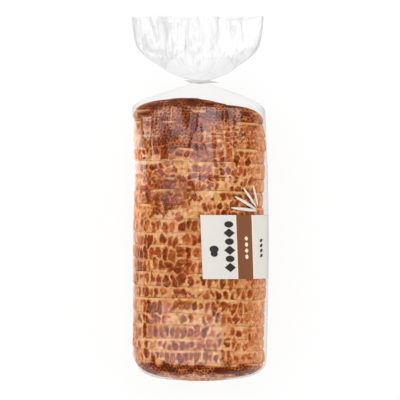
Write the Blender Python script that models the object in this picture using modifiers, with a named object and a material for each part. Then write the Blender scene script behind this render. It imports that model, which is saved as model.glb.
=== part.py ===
"""A sliced tiger bread loaf in a clear film bag, lying on its flat bottom crust.

The loaf lies along Y with its crackled crust up. The bag hugs the slices, is gathered
to a neck beyond one heel, held there by a tie, and flares out into a flat tail beyond it.
Z is up, and Z = 0 is the surface that the loaf rests on.
"""

import math
import random

import bmesh
import bpy

# Loaf in its film
HALF_WIDTH_LEFT = 0.0670
HALF_WIDTH_RIGHT = 0.0655
RIGHT_SLACK = 0.0032
LOAF_HEIGHT = 0.112
CROWN_PEAK_Y = -0.055
CROWN_DROP = 0.008
WIDEST_AT = 0.50
CROWN_POWER = 2.5
BASE_POWER = 7.0
BASE_TAPER = 0.10
BASE_FLATTENING = 1.012

# Slices, one shallow scallop of film for each
SLICES = 21
NOTCH_DEPTH = 0.0014
PITCH_JITTER = 0.0007
SLICE_SLANT = -0.018

# Stations along the loaf
SEALED_END_Y = -0.182
END_ROUNDING = 0.024
END_POWER = 3.0
END_STEPS = (0.35, 0.60, 0.80, 0.90, 0.96)
SHOULDER_Y = 0.088

# Neck and the film cone that leads to it
NECK_Y = 0.1165
NECK_STRAIGHT = 0.0032
NECK_Z = 0.047
NECK_HALF_WIDTH = 0.0088
NECK_HALF_HEIGHT = 0.0066
CONE_POWER = 1.15
CONE_RINGS = 8
CONE_PLEATS = 14
CONE_PLEAT_DEPTH = 0.0012
NECK_PLEAT_DEPTH = 0.0004

# Flared tail
TAIL_Y = 0.1815
TAIL_HALF_WIDTH = 0.0665
TAIL_CENTRE_X = -0.0022
TAIL_PLY = 0.0022
TAIL_DROOP = 0.006
TAIL_QUICK_POWER = 5.2
TAIL_QUICK_SHARE = 0.8
TAIL_SLOW_POWER = 1.5
TAIL_RINGS = 11
TAIL_WAVE = 0.0030
TAIL_EDGE_WAVE = 0.0007

# Printed panel, wrapped from the crown over the right side
PANEL_LOW_Y = -0.0790
PANEL_HIGH_Y = -0.0165
PANEL_FOOT_Z = 0.030
PANEL_GAP = 0.00035
PANEL_THICKNESS = 0.0004
LEAST_STEP = 0.0025

# Tie
TIE_WIDTH = 0.0024
TIE_WALL = 0.0010
TIE_GAP = 0.0004
TIE_LEFT_REACH = 0.0166
TIE_RIGHT_REACH = 0.0205
TIE_TIP_SHIFT = 0.0012
WING_HALF_WIDTH = 0.0012
WING_FLATNESS = 0.6

RING_POINTS = 56


def material(name, colour, roughness, alpha=1.0):
    made = bpy.data.materials.new(name)
    made.use_nodes = True
    shader = made.node_tree.nodes["Principled BSDF"]
    shader.inputs["Base Color"].default_value = (*colour, 1.0)
    shader.inputs["Roughness"].default_value = roughness
    shader.inputs["Metallic"].default_value = 0.0
    shader.inputs["Alpha"].default_value = alpha
    return made


def new_object(name, mesh, collection, finish=None):
    made = bpy.data.objects.new(name, mesh)
    collection.objects.link(made)
    if finish:
        mesh.materials.append(finish)
    return made


def between(a, b, share):
    return a + (b - a) * share


def signed_power(value, power):
    return math.copysign(abs(value) ** power, value)


def unit_outline():
    """The loaf's cross-section, clockwise from the crown: half widths of 1 and a height of 1."""
    dense = []
    steps = RING_POINTS * 40
    for k in range(steps + 1):
        turn = 2.0 * math.pi * k / steps
        side, rise = math.sin(turn), math.cos(turn)
        if rise >= 0.0:
            x = signed_power(side, 2.0 / CROWN_POWER)
            z = between(WIDEST_AT, 1.0, rise ** (2.0 / CROWN_POWER))
        else:
            depth = abs(rise) ** (2.0 / BASE_POWER)
            x = signed_power(side, 2.0 / BASE_POWER) * (1.0 - BASE_TAPER * depth)
            z = max(0.0, WIDEST_AT * (1.0 - BASE_FLATTENING * depth))
        dense.append((x, z))
    return evenly_spaced(dense)


def evenly_spaced(dense):
    """RING_POINTS points at even distances round a closed line, from its first point."""
    reach = [0.0]
    for (x0, z0), (x1, z1) in zip(dense, dense[1:]):
        reach.append(reach[-1] + math.hypot((x1 - x0) * HALF_WIDTH_LEFT, (z1 - z0) * LOAF_HEIGHT))
    ring = []
    k = 0
    for j in range(RING_POINTS):
        wanted = reach[-1] * j / RING_POINTS
        while reach[k + 1] < wanted:
            k += 1
        share = (wanted - reach[k]) / max(reach[k + 1] - reach[k], 1e-12)
        ring.append(tuple(between(a, b, share) for a, b in zip(dense[k], dense[k + 1])))
    return ring


OUTLINE = unit_outline()


def slice_joints():
    """Where one slice meets the next, from the sealed end to the shoulder."""
    draw = random.Random(21)
    pitch = (SHOULDER_Y + 0.010 - SEALED_END_Y) / SLICES
    inner = range(2, SLICES - 1)
    return [SEALED_END_Y + pitch * n + draw.uniform(-PITCH_JITTER, PITCH_JITTER) for n in inner]


JOINTS = slice_joints()


def notch(y):
    """How far the film dips at y: full at a joint, none half-way between two."""
    half_pitch = 0.5 * (JOINTS[-1] - JOINTS[0]) / (len(JOINTS) - 1)
    nearest = min(abs(y - joint) for joint in JOINTS)
    return NOTCH_DEPTH * max(0.0, 1.0 - nearest / half_pitch)


def right_half_width(y):
    """The film stands a little off the bread along the middle of the right side."""
    along = (y - SEALED_END_Y) / (SHOULDER_Y - SEALED_END_Y)
    return HALF_WIDTH_RIGHT + RIGHT_SLACK * math.sin(math.pi * min(max(along, 0.0), 1.0)) ** 0.7


def crown_height(y):
    """The crown is highest a little past the middle, and falls gently to both heels."""
    return LOAF_HEIGHT - CROWN_DROP * ((y - CROWN_PEAK_Y) / (SHOULDER_Y - CROWN_PEAK_Y)) ** 2


def body_section(y, scale=1.0, dip=0.0):
    """The film round the loaf at y, with Z = 0 for its flat underside at full scale."""
    points = []
    middle = crown_height(y) * WIDEST_AT
    for x, z in OUTLINE:
        half = right_half_width(y) if x > 0.0 else HALF_WIDTH_LEFT
        wide = x * (half - dip) * scale
        high = z * (crown_height(y) - dip)
        points.append((wide, middle + (high - middle) * scale))
    return points


def body_ring(y, scale=1.0):
    """The ring of film at y, its dips leaning with the slices."""
    section = body_section(y, scale, notch(y))
    return [(x, y + SLICE_SLANT * x * scale, z) for x, z in section]


def neck_section(pleat_depth):
    points = []
    for j in range(RING_POINTS):
        turn = 2.0 * math.pi * j / RING_POINTS
        pleat = pleat_depth * math.cos(CONE_PLEATS * turn)
        wide = (NECK_HALF_WIDTH + pleat) * math.sin(turn)
        points.append((wide, NECK_Z + (NECK_HALF_HEIGHT + pleat) * math.cos(turn)))
    return points


def cone_ring(share):
    """A ring between the neck, at 0, and the shoulder, at 1, with radial pleats."""
    y = between(NECK_Y - 0.5 * NECK_STRAIGHT, SHOULDER_Y, share)
    spread = math.sin(0.5 * math.pi * share**CONE_POWER)
    depth = CONE_PLEAT_DEPTH * math.sin(math.pi * share)
    ring = []
    sections = zip(neck_section(NECK_PLEAT_DEPTH), body_section(y))
    for j, ((nx, nz), (bx, bz)) in enumerate(sections):
        turn = 2.0 * math.pi * j / RING_POINTS
        pleat = depth * math.cos(CONE_PLEATS * turn)
        x = between(nx, bx, spread) + pleat * math.sin(turn)
        z = between(nz, bz, spread) + pleat * math.cos(turn)
        ring.append((x, y + SLICE_SLANT * x * share, z))
    return ring


def tail_wave(across):
    """Soft folds that fan out from the neck, by the place across the tail from -1 to 1."""
    return math.sin(7.4 * across + 0.7) + 0.45 * math.sin(15.5 * across - 1.1)


def tail_spread(share):
    """How far the tail has opened: quickly just past the neck, then slowly to its open edge."""
    quick = (1.0 - share) ** TAIL_QUICK_POWER
    slow = (1.0 - share) ** TAIL_SLOW_POWER
    return 1.0 - between(slow, quick, TAIL_QUICK_SHARE)


def tail_ring(share):
    """A ring between the neck, at 0, and the open edge of the tail, at 1."""
    spread = tail_spread(share)
    half_width = between(NECK_HALF_WIDTH, TAIL_HALF_WIDTH, spread)
    centre_x = TAIL_CENTRE_X * spread
    centre_z = NECK_Z - TAIL_DROOP * share**1.5
    flat = min(1.0, 2.2 * share)
    ring = []
    for j, (nx, nz) in enumerate(neck_section(NECK_PLEAT_DEPTH)):
        turn = 2.0 * math.pi * j / RING_POINTS
        across = 2.0 / math.pi * math.asin(math.sin(turn))
        x = centre_x + half_width * between(nx / NECK_HALF_WIDTH, across, flat)
        ply = signed_power(math.cos(turn), 0.5) * TAIL_PLY
        z = centre_z + between(nz - NECK_Z, ply, flat) + TAIL_WAVE * share * tail_wave(across)
        wave = TAIL_EDGE_WAVE * share * math.sin(9.0 * across)
        ring.append((x, between(NECK_Y + 0.5 * NECK_STRAIGHT, TAIL_Y, share) + wave, z))
    return ring


def end_rings():
    """The rounded sealed end, from its middle outwards."""
    rings = []
    for scale in END_STEPS:
        rise = 1.0 - (1.0 - scale**END_POWER) ** (1.0 / END_POWER)
        rings.append(body_ring(SEALED_END_Y + END_ROUNDING * rise, scale))
    return rings


def body_stations():
    """Each joint, the middle of each slice, and the two ends of the printed panel."""
    edges = [SEALED_END_Y + END_ROUNDING, *JOINTS[1:], SHOULDER_Y]
    middles = [0.5 * (a + b) for a, b in zip(edges, edges[1:])]
    panel = (PANEL_LOW_Y, PANEL_HIGH_Y)
    clear = [y for y in (*edges, *middles) if min(abs(y - end) for end in panel) > LEAST_STEP]
    return sorted([*clear, *panel])


def loft(mesh_name, rings):
    """A closed solid through the rings: a fan at the first, plies joined at the last."""
    shape = bmesh.new()
    rows = [[shape.verts.new(point) for point in ring] for ring in rings]
    for low, high in zip(rows, rows[1:]):
        for j in range(RING_POINTS):
            k = (j + 1) % RING_POINTS
            shape.faces.new((low[j], low[k], high[k], high[j]))
    first = rings[0]
    centre = [sum(point[axis] for point in first) / RING_POINTS for axis in range(3)]
    centre[1] = SEALED_END_Y
    pole = shape.verts.new(centre)
    for j in range(RING_POINTS):
        shape.faces.new((rows[0][(j + 1) % RING_POINTS], rows[0][j], pole))
    last = rows[-1]
    quarter = RING_POINTS // 4
    for j in range(-quarter, quarter):
        opposite = RING_POINTS // 2 - j
        corners = [last[j], last[j + 1], last[(opposite - 1) % RING_POINTS], last[opposite % RING_POINTS]]
        shape.faces.new(list(dict.fromkeys(corners)))
    bmesh.ops.recalc_face_normals(shape, faces=shape.faces)
    mesh = bpy.data.meshes.new(mesh_name)
    shape.to_mesh(mesh)
    shape.free()
    return mesh


def bread_bag(collection):
    rings = end_rings()
    rings += [body_ring(y) for y in body_stations()]
    rings += [cone_ring(1.0 - n / CONE_RINGS) for n in range(1, CONE_RINGS + 1)]
    rings += [tail_ring((n / TAIL_RINGS) ** 1.4) for n in range(TAIL_RINGS + 1)]
    crust = material("crust_in_film", (0.44, 0.17, 0.06), 0.35)
    bag = new_object("bread_bag", loft("bread_bag", rings), collection, crust)
    bag.data.shade_smooth()
    bag.data.set_sharp_from_angle(angle=math.radians(50.0))


def printed_panel(collection):
    """A strip of the bag's own surface, set just off it and given its thickness outwards."""
    stations = [y for y in body_stations() if PANEL_LOW_Y <= y <= PANEL_HIGH_Y]
    side = [j for j, (x, z) in enumerate(OUTLINE) if x >= 0.0 and z * LOAF_HEIGHT > PANEL_FOOT_Z]
    shape = bmesh.new()
    rows = []
    for y in stations:
        ring = body_ring(y)
        row = []
        for j in side:
            before, after = ring[j - 1], ring[j + 1]
            run, rise = after[0] - before[0], after[2] - before[2]
            length = math.hypot(run, rise)
            x, place, z = ring[j]
            point = (x - rise / length * PANEL_GAP, place, z + run / length * PANEL_GAP)
            row.append(shape.verts.new(point))
        rows.append(row)
    for low, high in zip(rows, rows[1:]):
        for j in range(len(side) - 1):
            shape.faces.new((low[j], low[j + 1], high[j + 1], high[j]))
    mesh = bpy.data.meshes.new("printed_panel")
    shape.to_mesh(mesh)
    shape.free()
    paper_white = material("panel_white", (0.80, 0.77, 0.70), 0.45)
    panel = new_object("printed_panel", mesh, collection, paper_white)
    wall = panel.modifiers.new("thickness", "SOLIDIFY")
    wall.thickness = PANEL_THICKNESS
    wall.offset = 1.0


def neck_cylinder(name, collection, clearance, length):
    """An oval cylinder along Y round the neck, its wall this far outside the film."""
    shape = bmesh.new()
    bmesh.ops.create_cone(
        shape, cap_ends=True, segments=32, radius1=1.0, radius2=1.0, depth=length
    )
    for vert in shape.verts:
        x, z, y = vert.co
        vert.co = (
            x * (NECK_HALF_WIDTH + NECK_PLEAT_DEPTH + clearance),
            NECK_Y + y,
            NECK_Z + z * (NECK_HALF_HEIGHT + NECK_PLEAT_DEPTH + clearance),
        )
    bmesh.ops.recalc_face_normals(shape, faces=shape.faces)
    mesh = bpy.data.meshes.new(name)
    shape.to_mesh(mesh)
    shape.free()
    return new_object(name, mesh, collection)


def tie_wing(name, collection, reach, y_shift):
    """A flat pointed end of the tie that stands out to the side, up to reach along X."""
    root = math.copysign(NECK_HALF_WIDTH, reach)
    shape = bmesh.new()
    bmesh.ops.create_cone(
        shape, cap_ends=True, segments=16, radius1=1.0, radius2=0.0, depth=1.0
    )
    for vert in shape.verts:
        wide, thick, along = vert.co
        share = along + 0.5
        vert.co = (
            between(root, reach, share),
            NECK_Y + y_shift * share + wide * WING_HALF_WIDTH,
            NECK_Z + thick * WING_HALF_WIDTH * WING_FLATNESS,
        )
    bmesh.ops.recalc_face_normals(shape, faces=shape.faces)
    mesh = bpy.data.meshes.new(name)
    shape.to_mesh(mesh)
    shape.free()
    return new_object(name, mesh, collection)


def bag_tie(collection, cutters):
    tie = neck_cylinder("bag_tie", collection, TIE_GAP + TIE_WALL, TIE_WIDTH)
    tie.data.materials.append(material("tie_grey", (0.62, 0.62, 0.62), 0.3))
    tools = (
        ("UNION", tie_wing("tie_wing_left", cutters, -TIE_LEFT_REACH, TIE_TIP_SHIFT)),
        ("UNION", tie_wing("tie_wing_right", cutters, TIE_RIGHT_REACH, -TIE_TIP_SHIFT)),
        ("DIFFERENCE", neck_cylinder("tie_bore", cutters, TIE_GAP, 4.0 * TIE_WIDTH)),
    )
    for operation, tool in tools:
        tool.display_type = "WIRE"
        tool.hide_render = True
        cut = tie.modifiers.new(tool.name, "BOOLEAN")
        cut.operation = operation
        cut.object = tool
        cut.solver = "EXACT"


def main():
    for item in list(bpy.data.objects):
        bpy.data.objects.remove(item, do_unlink=True)
    loaf = bpy.data.collections.new("tiger_bread_loaf")
    cutters = bpy.data.collections.new("cutters")
    for collection in (loaf, cutters):
        bpy.context.scene.collection.children.link(collection)
    bread_bag(loaf)
    printed_panel(loaf)
    bag_tie(loaf, cutters)


main()
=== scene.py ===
"""A sliced tiger bread loaf in a clear film bag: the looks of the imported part.

The file is laid out as an add-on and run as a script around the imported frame. Property
groups hold the sizes and colours, an operator makes each piece or group of like pieces,
and one panel lists them. Shapes are worked out in mm in the part's own frame, and a mesh
takes them in metres: +Y runs to the bag's neck and tail, +Z up through the crackled crust.
"""

import math

import bpy
import numpy as np
from bpy.props import FloatProperty, FloatVectorProperty, IntProperty, PointerProperty
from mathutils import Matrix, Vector


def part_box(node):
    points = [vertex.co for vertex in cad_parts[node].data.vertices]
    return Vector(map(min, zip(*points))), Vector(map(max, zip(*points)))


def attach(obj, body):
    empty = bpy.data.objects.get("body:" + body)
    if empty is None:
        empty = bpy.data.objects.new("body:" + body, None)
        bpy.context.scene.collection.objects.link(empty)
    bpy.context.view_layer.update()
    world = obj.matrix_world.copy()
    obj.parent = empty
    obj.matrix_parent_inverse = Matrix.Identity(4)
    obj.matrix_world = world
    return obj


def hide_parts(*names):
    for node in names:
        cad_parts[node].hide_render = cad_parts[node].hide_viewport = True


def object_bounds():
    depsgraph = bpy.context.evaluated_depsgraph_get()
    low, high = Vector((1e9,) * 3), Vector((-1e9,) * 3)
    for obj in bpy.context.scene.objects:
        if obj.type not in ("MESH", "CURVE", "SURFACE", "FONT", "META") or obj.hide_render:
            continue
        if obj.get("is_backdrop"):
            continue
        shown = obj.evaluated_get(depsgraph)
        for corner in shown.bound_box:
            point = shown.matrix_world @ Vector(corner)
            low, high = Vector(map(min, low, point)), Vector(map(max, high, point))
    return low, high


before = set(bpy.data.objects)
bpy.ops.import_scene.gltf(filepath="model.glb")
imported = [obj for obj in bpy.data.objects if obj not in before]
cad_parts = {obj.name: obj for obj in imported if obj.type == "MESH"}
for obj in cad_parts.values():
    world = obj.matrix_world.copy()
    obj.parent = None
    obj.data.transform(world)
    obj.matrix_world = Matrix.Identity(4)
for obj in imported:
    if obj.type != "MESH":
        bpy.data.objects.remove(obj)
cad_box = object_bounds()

bl_info = {
    "name": "Tiger bread loaf in a film bag",
    "version": (1, 0, 0),
    "blender": (4, 5, 0),
    "location": "3D View > Sidebar > Tiger loaf",
    "description": "Makes a sliced tiger bread loaf in its clear, printed film bag",
    "category": "Object",
}

MM = 0.001
LATTICE = 64
BLACK = (0.0, 0.0, 0.0, 1.0)
WHITE = (1.0, 1.0, 1.0, 1.0)

# Places read from the frame
BAG_LOW, BAG_HIGH = (Vector(corner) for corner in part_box("bread_bag"))
TIE_LOW, TIE_HIGH = (Vector(corner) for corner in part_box("bag_tie"))
PANEL_LOW, PANEL_HIGH = (Vector(corner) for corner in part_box("printed_panel"))
SEALED_END_Y = BAG_LOW.y / MM
OPEN_END_Y = BAG_HIGH.y / MM
FILM_HEIGHT = BAG_HIGH.z / MM
NECK_Y = 0.5 * (TIE_LOW.y + TIE_HIGH.y) / MM
NECK_Z = 0.5 * (TIE_LOW.z + TIE_HIGH.z) / MM
SHOULDER_Y = NECK_Y - 28.5
PANEL_LOW_Y, PANEL_HIGH_Y = PANEL_LOW.y / MM, PANEL_HIGH.y / MM
PANEL_FOOT_Z = PANEL_LOW.z / MM

# The film's cross-section, and the bread's a little inside it
HALF_LEFT = 67.0
HALF_RIGHT = 65.5
RIGHT_SLACK = 3.2
WIDEST_AT = 0.50
CROWN_POWER = 2.5
BASE_POWER = 7.0
BASE_TAPER = 0.10
BASE_FLATTENING = 1.012
CROWN_PEAK_Y = -55
CROWN_DROP = 8
BREAD_INSET = 0.8
BREAD_BASE = 0.6
MIDDLE_Z = 55
FILM_SLACK = 0.45

# The dips in the film along the cuts: half width, and length of the stretches that sink
DIP_HALF_WIDTH = 1.9
DIP_LENGTH = 21

# Half widths of the bread to its left and right at places along it
LEFT_EDGE = ((-181, 66.5), (-42, 66.5), (-17, 65.5), (18, 64.4), (48, 66.0), (57, 67.4), (98, 67.0))
RIGHT_EDGE = (
    (-181, 63.8), (-127, 63.8), (-85, 65.6), (-42, 65.0), (3, 63.0),
    (26, 64.4), (51, 65.4), (61, 64.4), (70, 62.4), (98, 61.6),
)

# The loaf's two ends, and the cuts between its slices from the sealed end to the neck. A rim
# that no cut made is taken to be NO_CUT away from one
LOAF_LOW_Y = SEALED_END_Y + 1.5
LOAF_HIGH_Y = NECK_Y - 18.5
NECK_HEEL_ROUNDING = 19
SEALED_HEEL_ROUNDING = (30, 22)
HEEL_POWER = 2.9
NECK_HEEL_FALL = 27
NECK_HEEL_POWER = 2.0
SEALED_HEEL_FALL = 20
SEALED_HEEL_POWER = 2.4
HEEL_DOME = 2.0
NO_CUT = 9.0
LEAST_RING = 0.42
DOME_RINGS = 40
FIRST_CUT_Y = LOAF_LOW_Y + 18.5
CUT_PITCH = 13.1
SHORT_FROM = 12
CUT_SHIFTS = (0, -1, -3, -2, -4, -2.5, -4, -3, -3, -2, -2, -2.5, -2, -1.5, -2.5, 0.5, 0.5, 0.5, 1, -1)

# The crust: how far round from the crown its smooth sides start, the cells of the heels' dark
# speckle, where it fades out from the two ends, and where the bottom crust fades out upwards
SIDE_FROM_LEFT, SIDE_FROM_RIGHT = 74, 100
SPECKLE_ACROSS, SPECKLE_ALONG = 3.5, 3.4
SPECKLE_FADE_NECK = (25, 15)
SPECKLE_FADE_SEALED = (19, 13)
BASE_FADE = (18, 6)

# Places of three of the marks that each point of the crust carries for its material
DARK, BASE, CUT_FACE = 0, 5, 7

# Where the crust is barer, or more thickly crackled, than elsewhere: the middle of each place
# across and along the loaf, its half sizes, and how much barer it is
CRUST_PLACES = (
    (-36, -19, 16, 5, 1.3),
    (-18, -15, 14, 5, 1.4),
    (-4, -8, 10, 6, 1.4),
    (8, 2, 11, 6, 1.4),
    (22, 11, 12, 5, 1.3),
    (36, 18, 10, 4, 1.0),
    (-40, 24, 30, 3, 0.9),
    (-48, 36, 14, 5, 0.8),
    (-20, 32, 12, 6, 0.7),
    (-7, -92, 8, 4, 0.9),
    (-24, -122, 8, 5, 0.7),
    (-2, -88, 7, 4, 0.8),
    (12, -60, 8, 5, 0.6),
    (40, -142, 10, 4, 0.7),
    (-44, -74, 6, 5, 0.7),
    (-4, -112, 10, 4, 0.6),
    (22, -128, 10, 4, 0.5),
    (-32, 2, 25, 18, -2.4),
    (-26, 66, 20, 20, -0.5),
    (5, 58, 12, 36, -0.5),
    (34, 34, 26, 18, -0.4),
    (-32, -46, 22, 12, -0.4),
    (20, -80, 20, 8, -0.4),
    (-20, -68, 20, 6, -0.5),
    (10, -106, 40, 5, -0.6),
    (-14, -148, 46, 14, -0.45),
    (-55, 50, 8, 24, 0.3),
    (-51, -118, 12, 32, -0.5),
)

# Long pleats in the film's upper half: where across each starts at the neck end and where it
# ends, how far along it ends, and its half width
PLEATS = (
    (-44, -46, 18, 3.4),
    (-5, -15, 34, 2.2),
    (20.5, 20, 24, 3.2),
    (-29, -31, 58, 1.8),
)

# Where the tail's film is creased or doubled and so greyer, painted in as shade along the folds: across it
# at the open edge and lower down, the places along it, the half width, and how grey
TAIL_STREAKS = (
    (-64, -56, 182, 150, 4.6, 0.40),
    (-50, -43, 180, 156, 1.6, 0.55),
    (-36, -34, 181, 174, 3.6, 0.60),
    (-32, -31, 174, 146, 5.6, 0.38),
    (-12, -15, 182, 138, 1.8, 0.60),
    (-6, -18, 160, 138, 4.0, 0.30),
    (-1, -1, 182, 146, 1.0, 0.50),
    (4, 1, 176, 150, 0.9, 0.30),
    (17, 18, 182, 164, 2.2, 0.55),
    (18, 10, 164, 148, 2.2, 0.45),
    (36, 34, 182, 166, 8.0, 0.32),
    (58, 41, 151, 127, 2.6, 0.75),
    (50, 30, 150, 134, 7.0, 0.42),
    (-30, 0, 148, 134, 26.0, 0.30),
    (0, 0, 140, 119, 60.0, 0.42),
)

# The gathered neck, the sealed end and the tail, as the frame has them
NECK_STRAIGHT = 3.2
NECK_HALF_WIDTH = 8.8
NECK_HALF_HEIGHT = 6.6
END_ROUNDING = 24
END_POWER = 3.0
TAIL_HALF_WIDTH = 66.5
TAIL_CENTRE_X = -2.2
TAIL_QUICK_POWER = 5.2
TAIL_QUICK_SHARE = 0.8
TAIL_SLOW_POWER = 1.5

# Rings of the film's mesh over the sealed end, down to the neck and along the tail
END_RINGS = 16
CONE_RINGS = 30
TAIL_RINGS = 46
BODY_RING_PITCH = 1.6

# Columns of the film's mesh over each side of the crown and round the rest, and the crown's reach
CROWN_COLUMNS = 76
REST_COLUMNS = 150
CROWN_SHARE = 0.20

# The film bunched inside the tie
BUNCH_COLUMNS = 120
BUNCH_INSET = 1.2
BUNCH_BULGE = 1.9


def between(a, b, share):
    return a + (b - a) * share


def smooth(low, high, value):
    """0 below low, 1 above high, and an even S between them."""
    share = np.clip((value - low) / (high - low), 0.0, 1.0)
    return share * share * (3.0 - 2.0 * share)


def signed_power(value, power):
    return np.copysign(np.abs(value) ** power, value)


def lattice(seed, draws=3):
    """Random draws at the points of a square lattice, which repeats past its edge."""
    return np.random.default_rng(seed).random((LATTICE, LATTICE, draws))


def wander(u, v, seed):
    """Smooth noise from -1 to 1 over two coordinates, with one hill to each unit."""
    table = lattice(seed, 1)[:, :, 0]
    iu, iv = np.floor(u).astype(int), np.floor(v).astype(int)
    fu, fv = smooth(0.0, 1.0, u - iu), smooth(0.0, 1.0, v - iv)

    def corner(du, dv):
        return table[(iu + du) % LATTICE, (iv + dv) % LATTICE]

    low = between(corner(0, 0), corner(1, 0), fu)
    high = between(corner(0, 1), corner(1, 1), fu)
    return 2.0 * between(low, high, fv) - 1.0


def plates(u, v, seed, uneven=0.64):
    """Irregular cells over two coordinates: how far inside its cell a point is, how far out in a
    corner, and the cell's two draws."""
    table = lattice(seed)
    iu, iv = np.floor(u).astype(int), np.floor(v).astype(int)
    nearest = np.full(u.shape, np.inf)
    second = nearest
    draws = np.zeros((*u.shape, 2))
    for dv in (-1, 0, 1):
        row = iv + dv
        for du in (-2, -1, 0, 1, 2):
            column = iu + du
            draw = table[column % LATTICE, row % LATTICE]
            seed_u = column + 0.5 * (row % 2) + 0.5 + 0.64 * (draw[..., 0] - 0.5)
            seed_v = row + 0.5 + uneven * (draw[..., 1] - 0.5)
            away = np.hypot(u - seed_u, v - seed_v)
            closer = away < nearest
            second = np.where(closer, nearest, np.minimum(second, away))
            nearest = np.where(closer, away, nearest)
            own = np.stack([draw[..., 2], (draw[..., 0] * 7.31 + draw[..., 1] * 3.77) % 1.0], axis=-1)
            draws = np.where(closer[..., None], own, draws)
    return second - nearest, np.maximum(0.0, nearest - 0.35), draws[..., 0], draws[..., 1]


def section_table():
    """The loaf's unit cross-section, clockwise from the crown, with the distance round it at full size."""
    turn = np.linspace(0.0, 2.0 * np.pi, 4001)
    side, rise = np.sin(turn), np.cos(turn)
    crown_x = signed_power(side, 2.0 / CROWN_POWER)
    crown_z = between(WIDEST_AT, 1.0, np.maximum(rise, 0.0) ** (2.0 / CROWN_POWER))
    depth = np.abs(rise) ** (2.0 / BASE_POWER)
    base_x = signed_power(side, 2.0 / BASE_POWER) * (1.0 - BASE_TAPER * depth)
    base_z = np.maximum(0.0, WIDEST_AT * (1.0 - BASE_FLATTENING * depth))
    x = np.where(rise >= 0.0, crown_x, base_x)
    z = np.where(rise >= 0.0, crown_z, base_z)
    steps = np.hypot(np.diff(x) * HALF_LEFT, np.diff(z) * FILM_HEIGHT)
    return np.concatenate([[0.0], np.cumsum(steps)]), x, z


ARC, UNIT_X, UNIT_Z = section_table()
GIRTH = ARC[-1]


def unit_section(s):
    """The unit cross-section at a distance s round it from the crown, to the right if positive."""
    round_s = np.mod(s, GIRTH)
    return np.interp(round_s, ARC, UNIT_X), np.interp(round_s, ARC, UNIT_Z)


def section_normal(s):
    step = 0.4
    x0, z0 = unit_section(s - step)
    x1, z1 = unit_section(s + step)
    run, rise = (x1 - x0) * HALF_LEFT, (z1 - z0) * FILM_HEIGHT
    length = np.maximum(np.hypot(run, rise), 1e-9)
    return -rise / length, run / length


def arc_at_x(x, half_width):
    """How far round from the crown the upper surface reaches x, seen from above."""
    upper = ARC < 0.25 * GIRTH
    reach = float(np.interp(abs(x) / half_width, UNIT_X[upper], ARC[upper]))
    return math.copysign(reach, x)


def arc_at_height(share):
    """How far round from the crown the right side comes down to a share of the height."""
    going_down = slice(len(ARC) // 2, None, -1)
    return float(np.interp(share, UNIT_Z[going_down], ARC[going_down]))


def turn_at(s):
    """The angle from the crown at a distance s round the bag."""
    return 2.0 * np.pi * np.mod(s, GIRTH) / GIRTH


def signed_arc(s):
    """The distance round from the crown, negative to the left."""
    return np.where(s > 0.5 * GIRTH, s - GIRTH, s)


def crown_fall(y):
    return CROWN_DROP * ((y - CROWN_PEAK_Y) / (SHOULDER_Y - CROWN_PEAK_Y)) ** 2


def half_width_at(edge, y):
    return np.interp(y, *np.transpose(edge))


def loaf_section(s, y, scale=1.0, top_scale=None):
    """Points of the bread at a distance s round it and a place y along it."""
    x, z = unit_section(s)
    half = np.where(x > 0.0, half_width_at(RIGHT_EDGE, y), half_width_at(LEFT_EDGE, y))
    tall = FILM_HEIGHT - crown_fall(y) - BREAD_INSET - BREAD_BASE
    middle = tall * WIDEST_AT
    rise = z * tall - middle
    shrink = scale if top_scale is None else np.where(rise > 0.0, top_scale, scale)
    return x * half * scale, BREAD_BASE + middle + rise * shrink


def left_half_width(y):
    """The film is drawn tight over the bread on the left."""
    return half_width_at(LEFT_EDGE, y) + BREAD_INSET


def right_half_width(y):
    along = np.clip((y - SEALED_END_Y) / (SHOULDER_Y - SEALED_END_Y), 0.0, 1.0)
    return HALF_RIGHT + RIGHT_SLACK * np.sin(np.pi * along) ** 0.7


def cut_planes(settings):
    """The cuts between slices: for each its place on the axis, its slant across and its lean."""
    draw = np.random.default_rng(settings.cut_seed)
    planes = []
    for n, shift in enumerate(CUT_SHIFTS):
        y = FIRST_CUT_Y + CUT_PITCH * n + shift
        slant = -0.020 + draw.uniform(-0.012, 0.010)
        lean = math.copysign(0.015 + draw.uniform(0.0, 0.008), y)
        planes.append((y, slant, lean))
    return planes


def film_dip(s, y, planes):
    """The film sinks a little here and there along the cuts, except under the loaf."""
    x, z = unit_section(s)
    dip = np.zeros(np.broadcast(s, y).shape)
    for place, slant, lean in planes:
        away = y - place - slant * x * HALF_LEFT
        patchy = smooth(0.0, 0.7, wander(s / DIP_LENGTH, place + 0.0 * s, 24))
        dip = dip + patchy * np.exp(-((away / DIP_HALF_WIDTH) ** 2))
    return dip * smooth(0.05, 0.30, z)


def film_pleats(s, y):
    """The long pleats: sharp ridges that run along the film from the neck and die out."""
    signed = signed_arc(s)
    height = np.zeros(np.broadcast(s, y).shape)
    for start, end, low, half_width in PLEATS:
        share = np.clip((y - low) / (SHOULDER_Y - low), 0.0, 1.0)
        centre = between(arc_at_x(end, HALF_LEFT), arc_at_x(start, HALF_LEFT), share)
        across = np.abs(signed - centre) / half_width
        ridge = np.maximum(0.0, 1.0 - across) * half_width / 3.0
        height = height + ridge * smooth(0.0, 0.35, share)
    return height


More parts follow.
